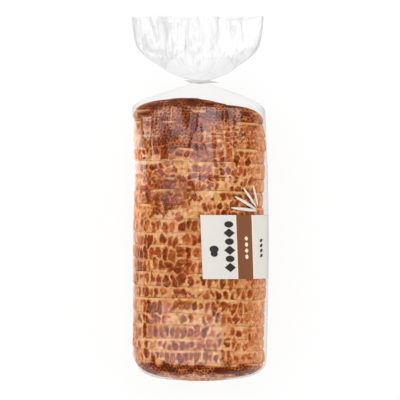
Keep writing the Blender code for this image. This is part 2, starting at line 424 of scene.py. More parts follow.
def film_wrinkle(s, y, film):
    """Long soft creases along the film, more towards the neck, and finer crinkles across them."""
    depth = film.crease_depth / MM
    toward_neck = smooth(-40, 60, y)
    toward_end = smooth(-120, -160, y)
    off_floor = smooth(0.04, 0.25, unit_section(s)[1])
    lean = s + 0.10 * y
    long_crease = 1.0 - 2.0 * np.abs(wander(lean / 15 + 5.0, y / 46, 31))
    fine_crease = 1.0 - 2.0 * np.abs(wander(s / 5.2, y / 34 + lean / 60, 32))
    crinkle = wander(s / 9, y / 8, 33)
    amount = depth * (0.25 + 0.75 * np.maximum(toward_neck, 0.7 * toward_end))
    waves = amount * long_crease + 0.22 * amount * fine_crease + 0.16 * depth * crinkle
    return off_floor * (waves + film.pleat_height / MM * film_pleats(s, y))


def film_body(s, y, scale, planes, film, lift=0.0):
    """Points of the film round the loaf."""
    x, z = unit_section(s)
    half = np.where(x > 0.0, right_half_width(y), left_half_width(y))
    tall = FILM_HEIGHT - crown_fall(y)
    middle = tall * WIDEST_AT
    normal_x, normal_z = section_normal(s)
    relief = film_wrinkle(s, y, film) - film.dip_depth / MM * film_dip(s, y, planes)
    out = relief * smooth(SHOULDER_Y + 14, SHOULDER_Y - 4, y) - FILM_SLACK + lift
    out = out * smooth(0.0, 0.06, z)
    tucked = 1.0 - 0.045 * smooth(0.0, -0.8, x) * smooth(SEALED_END_Y + 26, SEALED_END_Y + 14, y)
    px = x * half * scale * tucked + normal_x * out
    pz = middle + (z * tall - middle) * scale + normal_z * out
    return px, np.broadcast_to(y, px.shape), pz


def neck_ring(s, pleated=1.0):
    """The gathered film at the neck, drawn into small pleats."""
    turn = turn_at(s)
    pleat = pleated * (0.45 * np.cos(23 * turn + 1.3 * np.sin(3 * turn)) - 0.35)
    return (NECK_HALF_WIDTH + pleat) * np.sin(turn), (NECK_HALF_HEIGHT + pleat) * np.cos(turn)


def cone_rows(s, planes, film):
    """Film drawn in from the shoulder, over the heel, to the neck."""
    rows = []
    neck_x, neck_z = neck_ring(s)
    turn = turn_at(s)
    fold = np.abs(np.sin(8.5 * turn + 1.1 * np.sin(2 * turn + 0.6))) - 0.5
    fold = fold + 0.4 * np.sin(21 * turn + 2.0 * np.sin(turn))
    for share in np.linspace(1.0, 0.0, CONE_RINGS)[1:]:
        y = between(NECK_Y - 0.5 * NECK_STRAIGHT, SHOULDER_Y, share)
        spread = math.sin(0.5 * math.pi * share**1.15)
        body_x, _, body_z = film_body(s, y, 1.0, planes, film)
        depth = film.pleat_depth / MM * math.sin(math.pi * share**0.8) ** 1.3
        x = between(neck_x, body_x, spread) + depth * fold * np.sin(turn)
        z = between(neck_z + NECK_Z, body_z, spread) + depth * fold * np.cos(turn)
        rows.append(np.stack([x, y - 0.018 * x * share, z], axis=-1))
    return rows


def tail_section(s, film):
    """The flattened bag past the neck: two broad plies with a gusset folded in at each side."""
    share = np.mod(s, GIRTH) / GIRTH
    on_right = share < 0.5
    half = np.where(on_right, share, 1.0 - share) * 2.0
    fold_in = np.where(on_right, film.gusset_right, film.gusset_left) / MM
    edge = TAIL_HALF_WIDTH / (TAIL_HALF_WIDTH + fold_in)
    first, last = 0.5 * edge, 1.0 - 0.5 * edge
    across = np.where(half < first, half / first, np.where(half > last, (1.0 - half) / (1.0 - last), 0.0))
    inward = 1.0 - np.abs(2.0 * (half - first) / (last - first) - 1.0)
    gusset = (half >= first) & (half <= last)
    x = np.where(gusset, TAIL_HALF_WIDTH - inward * fold_in, across * TAIL_HALF_WIDTH)
    folded = 0.45 * np.cos(np.pi * (half - first) / (last - first))
    ply = np.where(gusset, folded, np.where(half < first, 1.0, -1.0))
    near_edge = np.sqrt(np.clip(1.0 - (x / TAIL_HALF_WIDTH) ** 8, 0.0, 1.0))
    return np.where(on_right, x, -x), ply * near_edge


def tail_spread(share):
    """How far the tail has opened: quickly just past the neck, then slowly to its open edge."""
    slow = (1.0 - share) ** TAIL_SLOW_POWER
    return 1.0 - between(slow, (1.0 - share) ** TAIL_QUICK_POWER, TAIL_QUICK_SHARE)


def tail_wave(across):
    return np.sin(7.4 * across + 0.7) + 0.45 * np.sin(15.5 * across - 1.1)


def tail_rows(s, film):
    """Film that fans out past the neck to its open edge."""
    rows = []
    flat_x, ply = tail_section(s, film)
    across = flat_x / TAIL_HALF_WIDTH
    for step in np.linspace(0.0, 1.0, TAIL_RINGS):
        share = step**1.3
        neck_x, neck_z = neck_ring(s, smooth(0.08, 0.0, share))
        spread = tail_spread(share)
        opened = smooth(0.0, 0.55, share)
        half_width = between(NECK_HALF_WIDTH, TAIL_HALF_WIDTH, spread)
        x = TAIL_CENTRE_X * spread + half_width * between(neck_x / NECK_HALF_WIDTH, across, opened)
        gathered = (1.0 - smooth(0.15, 0.75, share)) * smooth(0.0, 0.12, share)
        gather = np.sin(19 * across + 3 * ply) * gathered
        crinkle = wander(x / 9 + 0.8 * share, share * 3.0 + 0.25 * ply, 41)
        crinkle = crinkle + 0.40 * wander(x / 3.8, share * 5.0 + 0.8 * ply, 42)
        z = NECK_Z - film.tail_droop / MM * share**1.5 + between(neck_z, ply * film.tail_gap / MM, opened)
        z = z + film.tail_wave / MM * share * tail_wave(across) + 0.8 * gather
        z = z + film.tail_crinkle / MM * opened * crinkle
        z = z + 0.9 * smooth(0.975, 1.0, share) ** 2 * np.sign(ply)
        edge = 0.7 * share * np.sin(9.0 * across) + 0.25 * ply * share
        y = between(NECK_Y + 0.5 * NECK_STRAIGHT, OPEN_END_Y - 0.8, share) + edge
        rows.append(np.stack([x, y, z], axis=-1))
    return rows


def tail_shade(x, y):
    """How grey the tail's film is, seen from above: painted shade along its creases, over the left gusset
    and at its edges, partly for the film doubled there.
    """
    shade = np.zeros(x.shape)
    for top_x, low_x, top_y, low_y, half_width, amount in TAIL_STREAKS:
        along = (y - low_y) / (top_y - low_y)
        middle = between(low_x, top_x, np.clip(along, 0.0, 1.0))
        away = np.abs(x - middle - 1.2 * wander(y / 9, x * 0.0 + low_x, 43))
        ends = smooth(-0.12, 0.05, along) * smooth(1.12, 1.0, along)
        shade = np.maximum(shade, amount * ends * smooth(half_width + 0.8, 0.7 * half_width - 0.5, away))
    past_neck = (y - NECK_Y - 0.5 * NECK_STRAIGHT) / (OPEN_END_Y - NECK_Y)
    opened = tail_spread(np.clip(past_neck, 0.0, 1.0))
    from_middle = x - TAIL_CENTRE_X * opened
    from_edge = between(NECK_HALF_WIDTH, TAIL_HALF_WIDTH, opened) - np.abs(from_middle)
    # painted shade: greyer over the left gusset and along the tail's side edges
    gusset = np.where(from_middle < 0.0, 0.50 * smooth(9, 5, from_edge), 0.0)
    return np.maximum(shade, np.maximum(gusset, 0.85 * smooth(3.8, 1.4, from_edge)))


def only_active(piece):
    bpy.ops.object.select_all(action="DESELECT")
    piece.select_set(True)
    bpy.context.view_layer.objects.active = piece


def named(name):
    """Names the primitive that was just added."""
    piece = bpy.context.object
    piece.name = piece.data.name = name
    return piece


def points_of(piece):
    spots = np.empty(len(piece.data.vertices) * 3)
    piece.data.vertices.foreach_get("co", spots)
    return spots.reshape(-1, 3)


def set_points(piece, points):
    """Moves a mesh's points to places given in mm."""
    piece.data.vertices.foreach_set("co", np.ravel(points) * MM)


def tube(name, rows):
    """A cylinder cut into rings, whose rings then take the given rows of points along Y."""
    grid = np.asarray(rows, dtype=float)
    count, columns = grid.shape[:2]
    bpy.ops.object.select_all(action="DESELECT")
    bpy.ops.mesh.primitive_cylinder_add(vertices=columns, radius=1.0, depth=1.0, end_fill_type="NOTHING")
    piece = named(name)
    bpy.ops.object.mode_set(mode="EDIT")
    bpy.ops.mesh.select_mode(type="EDGE")
    bpy.ops.mesh.select_all(action="DESELECT")
    bpy.ops.object.mode_set(mode="OBJECT")
    ends = np.empty(len(piece.data.edges) * 2, dtype=int)
    piece.data.edges.foreach_get("vertices", ends)
    heights = points_of(piece)[ends.reshape(-1, 2), 2]
    piece.data.edges.foreach_set("select", np.abs(heights[:, 0] - heights[:, 1]) > 0.5)
    bpy.ops.object.mode_set(mode="EDIT")
    bpy.ops.mesh.subdivide_edgering(number_cuts=count - 2, interpolation="LINEAR", smoothness=0.0)
    bpy.ops.object.mode_set(mode="OBJECT")
    spots = points_of(piece)
    turn = np.mod(np.arctan2(spots[:, 1], spots[:, 0]), 2.0 * np.pi)
    column = np.rint(turn / (2.0 * np.pi) * columns).astype(int) % columns
    row = np.rint((spots[:, 2] + 0.5) * (count - 1)).astype(int)
    set_points(piece, grid[row, column])
    piece.data.shade_smooth()
    return piece, row, column


def paint(piece, name, values):
    """Stores up to three numbers on each vertex, for the material to read."""
    layer = piece.data.attributes.new(name, "FLOAT_COLOR", "POINT")
    colours = np.ones((len(piece.data.vertices), 4))
    colours[:, : values.shape[1]] = values
    layer.data.foreach_set("color", colours.ravel())


def close_poles(piece):
    """Merges the rings that were drawn together into one point."""
    only_active(piece)
    bpy.ops.object.mode_set(mode="EDIT")
    bpy.ops.mesh.select_all(action="SELECT")
    bpy.ops.mesh.remove_doubles(threshold=1e-6)
    bpy.ops.object.mode_set(mode="OBJECT")
    piece.data.update()


class Finish:
    """A new material, and short helpers that add its nodes."""

    def __init__(self, name):
        self.material = bpy.data.materials.new(name)
        self.material.use_nodes = True
        self.tree = self.material.node_tree
        self.shader = self.tree.nodes["Principled BSDF"]

    def put(self, node, sockets):
        """Gives each socket a number, a colour or another node's output."""
        for socket, value in sockets.items():
            if isinstance(value, bpy.types.NodeSocket):
                self.tree.links.new(value, node.inputs[socket])
            else:
                node.inputs[socket].default_value = value

    def add(self, kind, sockets, **values):
        node = self.tree.nodes.new(kind)
        for key, value in values.items():
            setattr(node, key, value)
        self.put(node, sockets)
        return node

    def number(self, operation, *values):
        return self.add("ShaderNodeMath", dict(enumerate(values)), operation=operation).outputs[0]

    def times(self, first, second):
        return self.number("MULTIPLY", first, second)

    def plus(self, first, second):
        return self.number("ADD", first, second)

    def minus(self, first, second):
        return self.number("SUBTRACT", first, second)

    def mix(self, share, first, second, blend="MIX"):
        sockets = {0: share, 6: first, 7: second}
        return self.add("ShaderNodeMix", sockets, data_type="RGBA", blend_type=blend).outputs[2]

    def grain(self, scale, detail=3.0, stretch=(1.0, 1.0, 1.0)):
        """Noise in the piece's own space."""
        spot = self.add("ShaderNodeTexCoord", {}).outputs["Object"]
        spot = self.add("ShaderNodeMapping", {"Vector": spot, "Scale": stretch}).outputs[0]
        sockets = {"Vector": spot, "Scale": scale, "Detail": detail}
        return self.add("ShaderNodeTexNoise", sockets).outputs["Fac"]

    def ramp(self, value, *stops):
        node = self.add("ShaderNodeValToRGB", {0: value})
        while len(node.color_ramp.elements) < len(stops):
            node.color_ramp.elements.new(0.5)
        for element, (place, colour) in zip(node.color_ramp.elements, stops):
            element.position = place
            element.color = colour
        return node.outputs[0]

    def flecks(self, low, high, *noise):
        """A mask: 0 where the noise is below low, 1 where it is above high."""
        return self.ramp(self.grain(*noise), (low, BLACK), (high, WHITE))

    def attribute(self, name):
        colour = self.add("ShaderNodeAttribute", {}, attribute_name=name).outputs["Color"]
        return self.add("ShaderNodeSeparateColor", {0: colour}).outputs

    def bump(self, height, distance, strength):
        sockets = {"Height": height, "Distance": distance, "Strength": strength}
        return self.add("ShaderNodeBump", sockets).outputs[0]


def mottled(name, tints, mottle, roughness, sheen_scale):
    """A finish whose colour wavers between two tints, and its roughness between two values."""
    finish = Finish(name)
    rougher = finish.times(finish.grain(sheen_scale, 2.0), roughness[1] - roughness[0])
    sockets = {
        "Base Color": finish.mix(finish.grain(*mottle), *tints),
        "Roughness": finish.plus(roughness[0], rougher),
    }
    finish.put(finish.shader, sockets)
    return finish


def rgba(colour, share=1.0):
    return (colour[0] * share, colour[1] * share, colour[2] * share, 1.0)


def a_length(name, description, default):
    return FloatProperty(name=name, description=description, default=default, unit="LENGTH")


def a_factor(name, description, default):
    return FloatProperty(name=name, description=description, default=default, subtype="FACTOR")


def a_colour(name, description, default):
    return FloatVectorProperty(name=name, description=description, default=default, subtype="COLOR")


class LoafSettings(bpy.types.PropertyGroup):
    """Sizes and colours of the bread."""

    cut_seed: IntProperty(name="Cut seed", description="Draws the unevenness of the cuts", default=8)
    mesh_step: a_length("Mesh step", "Spacing of the crust's mesh", 0.66 * MM)
    plate_across: a_length("Plate width", "Crackle's pitch across the loaf", 6.8 * MM)
    plate_along: a_length("Plate length", "Crackle's pitch along the loaf", 8.4 * MM)
    plate_height: a_length("Plate height", "How far the dark plates stand out", 0.55 * MM)
    plate_dark: a_colour("Dark plate", "Darkest crackle", (0.125, 0.021, 0.003))
    plate_mid: a_colour("Plate", "Usual crackle", (0.272, 0.066, 0.013))
    plate_light: a_colour("Light plate", "Palest crackle", (0.50, 0.155, 0.036))
    crack_gold: a_colour("Crack", "Golden crust between plates", (0.58, 0.235, 0.085))
    crack_pale: a_colour("Straw crack", "Straw crust between plates", (0.73, 0.475, 0.200))
    crack_pink: a_colour("Salmon crack", "Salmon flecks of the crust", (0.88, 0.515, 0.285))
    side_crust: a_colour("Side", "Smooth crust of the sides", (0.97, 0.50, 0.27))
    side_streak: a_colour("Side streak", "Redder streaks of a side", (0.46, 0.150, 0.055))
    base_crust: a_colour("Base", "Crust underneath", (0.36, 0.150, 0.060))
    crumb: a_colour("Crumb", "Cut crumb of the slices", (0.74, 0.53, 0.32))


class FilmSettings(bpy.types.PropertyGroup):
    """Sizes and gloss of the film bag."""

    crease_depth: a_length("Crease depth", "Depth of the soft creases", 0.42 * MM)
    pleat_height: a_length("Pleat height", "Height of the long pleats", 1.4 * MM)
    dip_depth: a_length("Dip depth", "How far the film sinks at each cut", 0.12 * MM)
    pleat_depth: a_length("Gather depth", "Depth of the folds to the neck", 1.6 * MM)
    gusset_left: a_length("Left gusset", "How far the left gusset folds in", 55 * MM)
    gusset_right: a_length("Right gusset", "How far the right gusset folds in", 48 * MM)
    tail_gap: a_length("Tail gap", "Half the gap between the tail's plies", 2.0 * MM)
    tail_droop: a_length("Tail droop", "How far the tail's edge hangs", 2.0 * MM)
    tail_wave: a_length("Tail wave", "Height of the tail's soft folds", 1.5 * MM)
    tail_crinkle: a_length("Tail crinkle", "Height of the tail's small creases", 0.8 * MM)
    roughness: a_factor("Roughness", "Roughness of the film's gloss", 0.10)
    tail_roughness: a_factor("Tail roughness", "The same for the tail", 0.06)
    gloss: a_factor("Gloss", "How much film seen face on mirrors", 0.055)
    tail_gloss: a_factor("Tail gloss", "The same for each ply of the tail", 0.034)


class PrintSettings(bpy.types.PropertyGroup):
    """Colours of the print."""

    ground: a_colour("Ground", "Warm white of the panel", (0.665, 0.635, 0.595))
    band: a_colour("Band", "Brown of the band", (0.205, 0.072, 0.028))
    cream: a_colour("Cream", "Cream lines beside the band", (0.79, 0.70, 0.53))
    ink: a_colour("Ink", "Dark ink of the motif", (0.030, 0.025, 0.022))


class StageSettings(bpy.types.PropertyGroup):
    """Camera, floor and lights."""

    camera_height: a_length("Camera height", "Height of the camera above the loaf", 4.0)
    view_width: a_length("View width", "Width of the picture at the loaf", 0.400)
    floor: a_colour("Floor", "Colour of the floor", (0.80, 0.80, 0.80))


def crust_places(s, y):
    """How bare, or how thickly crackled if negative, the crust is by its named places."""
    bareness = np.zeros(np.broadcast(s, y).shape)
    for x, along, half_x, half_y, amount in CRUST_PLACES:
        away = np.hypot((s - arc_at_x(x, HALF_LEFT)) / half_x, (y - along) / half_y)
        bareness = bareness + amount * smooth(1.5, 0.4, away)
    return bareness


def crust_field(s, y, near_end, rim, row, loaf):
    """The crust at places on it: how dark the crackle is, how bare, how smooth, and how raised.

    Each row of plates takes up one unit of the rows given. Past the middle of the loaf, where
    the plates are shorter, a slice has more than one row."""
    right, left = s > 0.0, s < 0.0
    across = np.abs(s)
    wide = wander(s / 55, y / 55, 11)
    near = wander(s / 7, y / 7, 12)
    small = wander(s / 2.4, y / 2.6, 20)
    patch = wander(s / 19 + 3.0, y / 12, 16)
    neck_half = smooth(-5, 30, y)
    low_left = left * smooth(-30, -60, y)

    # Where the crust is bare, where it is dense, and where its plates are fine
    # rim is the painted highlight along a slice's rim, and leaves the crust barer there too
    bareness = crust_places(s + 5 * near, y + 3 * small) + 0.60 * patch + 0.25 * near + 0.75 * rim
    bare = smooth(0.15, 1.0, bareness)
    dense = smooth(-0.2, -1.0, bareness)
    fine = smooth(70, 84, across) + smooth(20, 32, s) * smooth(44, 58, y)
    fine = fine + 0.8 * smooth(44, 64, s + 10 * patch) * smooth(0, -30, y)
    fine = smooth(0.40, 0.60, fine + 0.25 * near)

    # The plates, the small splits in them, and the fine plates
    u = s * MM / loaf.plate_across + 0.30 * near + 0.9 * wide + 0.12 * small
    v = row + 0.16 * wander(s / 6, y / 6, 13) + 0.06 * small + 0.7 * wide * smooth(0, 20, y)
    inside, corner, size, tone = plates(u, v, 14, 0.5)
    small_inside, _, small_size, small_tone = plates(2.0 * u + 0.5 * near, y / 4.6 + 0.3 * wide, 15)
    filled = 0.35 * smooth(0.0, -0.5, bareness) + 0.15 * neck_half
    missing = smooth(0.86, 0.94, size + 0.80 * bare - filled)
    net = 0.6 * neck_half * (1.0 - bare)
    crack = 0.14 * (size - 1.08) + 0.24 * np.clip(bareness, -1.2, 1.0) - 0.05 * net
    inside = inside - 0.9 * corner * (1.0 - np.maximum(dense, net))
    split = smooth(0.35, 0.0, small_inside) * (0.18 + 0.34 * dense)
    plate = smooth(crack, crack + 0.50, inside) * (1.0 - 0.85 * missing) * (1.0 - split)
    small_crack = 0.20 * small_size**2 - 0.12
    small_plate = smooth(small_crack, small_crack + 0.50, small_inside)
    plate = between(plate, 0.10 + 0.80 * small_plate, fine)
    tone = between(tone, 0.5 * (tone + small_tone), np.maximum(fine, 0.4))

    # The smooth sides, and the paler crust towards them; on the right, and most low down on the right, the
    # crust is paler still as painted light from the right
    ragged = wander(y / 6.5 + 40.0 * right, s * 0.0, 25)
    side_edge = np.where(left, SIDE_FROM_LEFT, SIDE_FROM_RIGHT) + 9 * low_left + 5 * near + 5 * ragged
    side = 0.75 * smooth(-12, 6, across - side_edge)
    side = np.maximum(side, 0.8 * smooth(2, -2, near_end - 5 - 3 * near) * (y < 0.0))
    pale_side = smooth(58, 90, across + 8 * right) * (1.0 - 0.60 * low_left)
    paler = 1.0 - (0.45 + 0.12 * right) * pale_side
    # painted light: paler low down on the right
    paler = paler * (1.0 - 0.22 * smooth(22, 48, s) * smooth(-60, -95, y))
    grain = wander(s / 1.2, y / 5, 37)
    dark = plate * (0.36 + 0.54 * tone + 0.10 * dense) * paler + 0.18 * small + 0.16 * dense * grain
    dark = dark + 0.14 * smooth(20, 60, y) * smooth(30, 0, s)
    # the right side takes more of the smooth side crust, as painted light from the right
    return dark, bare, np.maximum(side, (0.30 + 0.15 * right) * pale_side), plate


def heel_speckle(u, v):
    """The fine dark speckle of the heels over two coordinates: how dark it is, and how raised."""
    shifted = wander(u / 7, v / 7, 27)
    inside, _, _, tone = plates(u / SPECKLE_ACROSS + 0.4 * shifted, v / SPECKLE_ALONG + 0.3 * shifted, 26)
    patch = wander(u / 9, v / 5, 28)
    cell = smooth(0.0, 0.32, inside + 0.14 * patch)
    return cell * (0.66 + 0.62 * tone + 0.30 * patch), inside


def slice_columns(step):
    """Distances round the loaf for a slice's mesh: fine over crown and sides, coarse underneath."""
    reach = arc_at_height(0.10)
    half = np.arange(0.0, reach, step)
    under = np.linspace(reach, GIRTH - reach, 36)[:-1]
    return np.concatenate([half, under, GIRTH - half[:0:-1]])


def heel_scale(near_end, rounding, power=HEEL_POWER):
    """How wide a section is, this far in from the loaf's rounded end."""
    share = np.clip(near_end / rounding, 0.0, 1.0)
    return np.maximum((1.0 - (1.0 - share) ** power) ** (1.0 / power), LEAST_RING)


def heel_top_scale(near_end, at_neck):
    """How tall a section's upper half is, this far in from the loaf's rounded end."""
    at_sealed = heel_scale(near_end, SEALED_HEEL_FALL, SEALED_HEEL_POWER)
    return np.where(at_neck, heel_scale(near_end, NECK_HEEL_FALL, NECK_HEEL_POWER), at_sealed)


def high_end(x):
    """The heel at the neck end sticks out further on the left than on the right."""
    return LOAF_HIGH_Y + 1.5 - 6.0 * smooth(-18, 32, x)


def heel_extra(at_neck):
    """How much longer the way over a heel's rounding is than along the loaf, by distance to its end."""
    near_end = np.linspace(0.0, NECK_HEEL_FALL, 900)
    height = heel_top_scale(near_end, at_neck) * MIDDLE_Z
    step = near_end[1]
    extra = np.hypot(np.diff(height), step) - step
    return near_end, np.concatenate([np.cumsum(extra[::-1])[::-1], [0.0]])


def slice_stations(low, high, step):
    """Shares of the way through a slice, evenly spaced over its crust."""
    shares = np.linspace(0.0, 1.0, 800)
    places = between(low.mean(), high.mean(), shares)
    near_end = np.minimum(places - LOAF_LOW_Y, LOAF_HIGH_Y - places)
    extra = np.interp(near_end, *heel_extra(places[0] > 0.0))
    length = (places - places[0]) + np.abs(extra - extra[0])
    count = max(8, round(length[-1] / step))
    return np.interp(np.linspace(0.0, length[-1], count + 1), length, shares)


def cut_gap(x, row):
    """Half the gap that shows between two slices at the crust, here and there a little wider."""
    return 0.02 + 0.16 * np.maximum(0.0, wander(x / 16, row, 22) - 0.2)


def cut_face_at(plane, s, side):
    """Where the bread past a cut (side 1) or before it (side -1) ends, all round the crust."""
    place, slant, lean = plane
    x, z = loaf_section(s, place)
    row = np.full(s.shape, place)
    waver = 0.9 * wander(x / 26, row, 23)
    return place + slant * x + lean * (z - MIDDLE_Z) + waver + side * cut_gap(x, row)


def rim_highlight_gap_shade_and_wear(s, y, index, on_side, to_neck, to_sealed):
    """A slice's two rims: pale crust as a painted highlight along the neck side, a dark line of painted
    shade for the gap along the other side, and how worn they are.
    """
    patchy = smooth(-0.05, 0.75, wander(s / 15, y / 40 + 9.3 * index, 21))
    ragged = 2.5 + 1.0 * wander(s / 4, y * 0.0 + 3.7 * index, 29)
    # painted highlight: pale crust along the rim on the neck side, where a rounded rim would catch the
    # light
    pale = smooth(ragged + 0.8, 0.5, to_neck) * patchy
    parted = smooth(0.0, 0.6, wander(s / 11, y * 0.0 + 5.1 * index, 30))
    # painted shade: a dark line along the other rim, for the gap under the next slice
    line = 0.8 * smooth(1.2, 0.2, to_sealed) * parted
    worn = np.maximum(smooth(1.4, 0.0, to_neck), smooth(1.1, 0.0, to_sealed)) * (0.35 + 0.65 * parted)
    notch = np.maximum(smooth(3.2, 0.0, to_neck), smooth(2.6, 0.0, to_sealed)) ** 2
    return pale, line, between(worn, 2.4 * notch, on_side)


def heel_zone(s, x, y, near_end, at_neck):
    """Where the heels' dark speckle lies. Its edge is ragged, and some of it runs on at the neck."""
    torn = near_end + 5 * wander(s / 9, y / 5, 34) - 6 * smooth(-20, -38, x) * at_neck
    heel = np.where(at_neck, smooth(*SPECKLE_FADE_NECK, torn), smooth(*SPECKLE_FADE_SEALED, torn))
    past_heel = smooth(56, 38, torn) * smooth(-53, -44, x) * smooth(-4, -10, x)
    return np.maximum(heel, 0.85 * past_heel * at_neck)


def bread_slice(index, planes, loaf):
    """One slice between two cuts, or a heel between a cut and the loaf's rounded end."""
    draw = np.random.default_rng(100 + index)
    shift_x, shift_z = draw.uniform(-0.7, 0.7), draw.uniform(-0.7, 0.1)
    step = loaf.mesh_step / MM
    s = slice_columns(step)
    signed = signed_arc(s)
    unit_x, unit_z = unit_section(s)
    normal_x, normal_z = section_normal(s)
    flat_x = unit_x * HALF_LEFT
    on_side = smooth(0.86, 0.97, np.abs(unit_x))
    first, last = index == 0, index == len(planes)
    low = np.full(s.shape, LOAF_LOW_Y) if first else cut_face_at(planes[index - 1], s, 1.0)
    high = high_end(flat_x) if last else cut_face_at(planes[index], s, -1.0)
    gaps = [cut_gap(flat_x, np.full(s.shape, face.mean())) for face in (low, high)]
    over_heel = heel_extra(low.mean() > 0.0)
    rows, marks = [], []
    for share in slice_stations(low, high, step):
        y = between(low, high, share)
        near_neck = high_end(flat_x) - y
        near_end = np.minimum(y - LOAF_LOW_Y, near_neck)
        at_neck = near_neck <= near_end
        sealed_rounding = between(*SEALED_HEEL_ROUNDING, smooth(-0.4, 0.4, unit_x))
        scale = heel_scale(near_end, np.where(at_neck, NECK_HEEL_ROUNDING, sealed_rounding))
        x, z = loaf_section(s, y, scale, heel_top_scale(near_end, at_neck))
        to_neck = NO_CUT if last else high - y
        to_sealed = NO_CUT if first else y - low
        # pale is the painted highlight along the neck-side rim and line the painted shade of the gap
        # between slices, both kept as marks for the material
        pale, line, worn = rim_highlight_gap_shade_and_wear(signed, y, index, on_side, to_neck, to_sealed)
        heel = heel_zone(signed, x, y, near_end, at_neck)
        along = y + np.where(at_neck, 1.0, -1.0) * np.interp(near_end, *over_heel)
        if index < SHORT_FROM:
            row = index + share + 0.0 * s
        else:
            row = SHORT_FROM + (along - planes[SHORT_FROM - 1][0]) * MM / loaf.plate_along
        over = signed * between(1.0, scale, 0.8)
        dark, bare, side, plate = crust_field(over, along, near_end, pale, row, loaf)
        if heel.max() > 0.0:
            speckle, raised = heel_speckle(x, np.abs(y) - 0.10 * z)
            dark = between(dark, speckle * (1.0 + 0.15 * at_neck), heel)
            plate = between(plate, smooth(0.0, 0.5, raised), heel)
        base = near_base(z)
        out = loaf.plate_height / MM * (plate - 0.6) * (1.0 - 0.9 * side)
        out = out + 0.35 * wander(signed / 30 + 7 * index, y / 9, 17)
        out = out + 0.10 * wander(signed / 1.7, y / 1.9, 18) - 0.42 * worn
        out = out * (1.0 - 0.9 * base)
        x, z = x + normal_x * out + shift_x, z + normal_z * out + shift_z * unit_z
        rows.append(np.stack([x, y, z], axis=-1))
        marks.append(np.stack([dark, bare, side, heel, pale, base, line, 0.0 * line], axis=-1))
    return finish_ends(rows, marks, first, last, gaps)


def near_base(z):
    """1 on the bottom crust, and 0 a little above it."""
    return smooth(*BASE_FADE, z)


def finish_ends(rows, marks, first, last, gaps):
    """Closes both faces of a slice: flat crumb at a cut, domed crust at a heel's end."""
    for at_start, is_heel in ((True, first), (False, last)):
        ring, mark = (rows[0], marks[0]) if at_start else (rows[-1], marks[-1])
        centre = ring.mean(axis=0)
        way = -1.0 if at_start else 1.0
        swell = np.minimum(gaps[0 if at_start else 1], 0.2) * 0.5
        more_rows, more_marks = [], []
        for scale in np.linspace(1.0, 0.0, DOME_RINGS)[1:] if is_heel else (0.985, 0.93, 0.5, 0.0):
            inner = centre + (ring - centre) * scale
            own = mark.copy()
            if is_heel:
                inner[:, 1] += way * HEEL_DOME * (1.0 - scale**2)
                inner[:, 1] += 0.4 * wander(inner[:, 0] / 9, inner[:, 2] / 9, 19)
                own[:, DARK] = heel_speckle(inner[:, 0], -0.7 * inner[:, 2])[0]
                own[:, BASE] = near_base(inner[:, 2])
            else:
                inner[:, 1] += way * swell * (scale < 0.95)
                own[:, CUT_FACE] = 1.0
            more_rows.append(inner)
            more_marks.append(own)
        if at_start:
            rows, marks = more_rows[::-1] + rows, more_marks[::-1] + marks
        else:
            rows, marks = rows + more_rows, marks + more_marks
    return rows, marks


